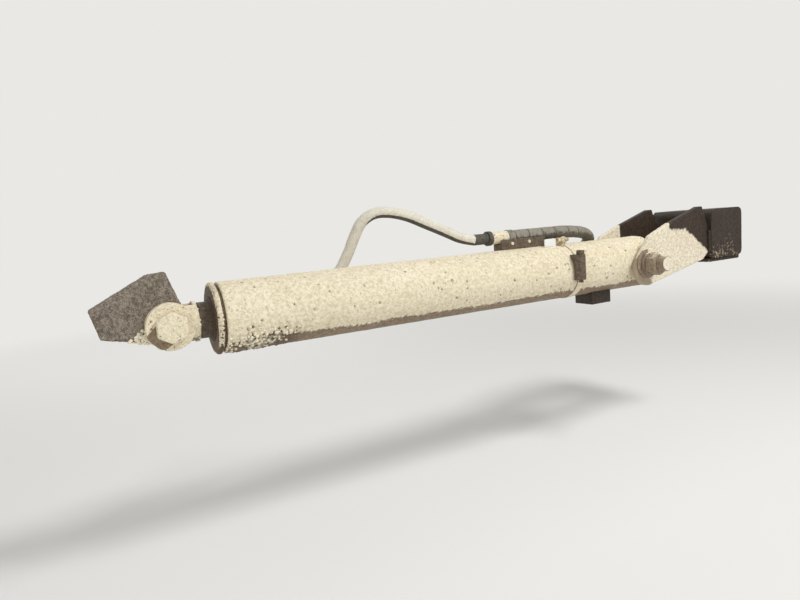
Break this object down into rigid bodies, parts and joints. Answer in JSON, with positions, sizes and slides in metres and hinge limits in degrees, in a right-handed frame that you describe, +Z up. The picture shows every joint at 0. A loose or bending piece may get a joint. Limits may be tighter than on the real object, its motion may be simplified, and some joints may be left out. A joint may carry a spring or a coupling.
{
  "type": "chute lift hydraulic cylinder with base bracket",
  "caption": "Hydraulic cylinder that lifts a discharge chute: pinned base bracket, barrel with clamp and transfer hose, chromed rod, fork clevis and chute lug.",
  "frame": {"origin": "centre of the bracket block's flat weld face, where it is welded to the slewing column", "axes": "+X out of the weld face toward the column, the cylinder running toward -X; +Y toward the far side, along both pins; +Z up"},
  "size_m": [1.25, 0.2082, 0.2129],
  "materials": {
    "barrel_paint": "off-white paint under a fine dry cement crust",
    "crusted_gland": "rough cement crust",
    "splattered_steel": "painted steel with grey-beige cement splatter",
    "lug_crust": "grey concrete crust in strokes",
    "oily_steel": "oily brown grime on painted steel",
    "dusty_fastener": "dusty, lightly rusted steel",
    "dusty_bracket": "brown, dusty steel with cement nubs",
    "rod_chrome": "hard chrome under dark grime",
    "bare_steel": "machined",
    "bronze": "machined",
    "brass": "dull",
    "hose_rubber": "rubber hose under beige dust",
    "seal_rubber": "black rubber",
    "sleeve_fabric": "dusty dark sleeve",
    "tag_plastic": "blank white tag"
  },
  "bodies": {
    "bracket": {"bracket_ear_near": "splattered_steel", "bracket_ear_far": "splattered_steel", "bracket_block": "oily_steel", "block_cap_near": "oily_steel", "block_cap_far": "oily_steel", "bracket_foot": "oily_steel", "base_bolt": "dusty_fastener", "base_nut": "dusty_fastener", "base_washer_near": "dusty_fastener", "base_lock_washer": "dusty_fastener", "base_washer_far": "dusty_fastener"},
    "barrel": {"barrel_tube": "barrel_paint", "base_plug": "barrel_paint", "base_bushing": "bronze", "gland": "crusted_gland", "rod_wiper": "seal_rubber", "rod_port": "barrel_paint", "rod_port_elbow": "barrel_paint", "rod_port_ferrule": "barrel_paint", "transfer_hose": "hose_rubber", "hose_cuff": "hose_rubber", "hose_ring": "hose_rubber", "hose_coupling": "barrel_paint", "hose_collar": "sleeve_fabric", "hose_sleeve": "sleeve_fabric", "base_port_ferrule": "dusty_bracket", "base_port_elbow": "dusty_bracket", "hose_saddle": "dusty_bracket", "base_port": "oily_steel", "band_clamp": "barrel_paint", "clamp_housing": "dusty_bracket", "clamp_screw": "dusty_bracket", "bleed_fitting": "brass", "blank_tag": "tag_plastic"},
    "rod": {"piston_rod": "rod_chrome", "piston": "bare_steel", "rod_clevis": "barrel_paint", "clevis_bolt": "barrel_paint", "clevis_nut": "dusty_fastener", "clevis_washer": "dusty_fastener"},
    "lug": {"chute_lug": "lug_crust"}
  },
  "joints": [
    {"name": "base_pivot", "type": "hinge", "parent": "bracket", "child": "barrel", "pos_m": [-0.2896, 0, -0.0428], "axis": [0, 1, 0], "range_deg": [-8, 30]},
    {"name": "rod_extend", "type": "slide", "parent": "barrel", "child": "rod", "axis": [-1, 0, 0], "range_m": [0, 0.6096]},
    {"name": "lug_pivot", "type": "hinge", "parent": "rod", "child": "lug", "pos_m": [-1.1568, 0, -0.0428], "axis": [0, 1, 0], "range_deg": [-5, 30]}
  ]
}
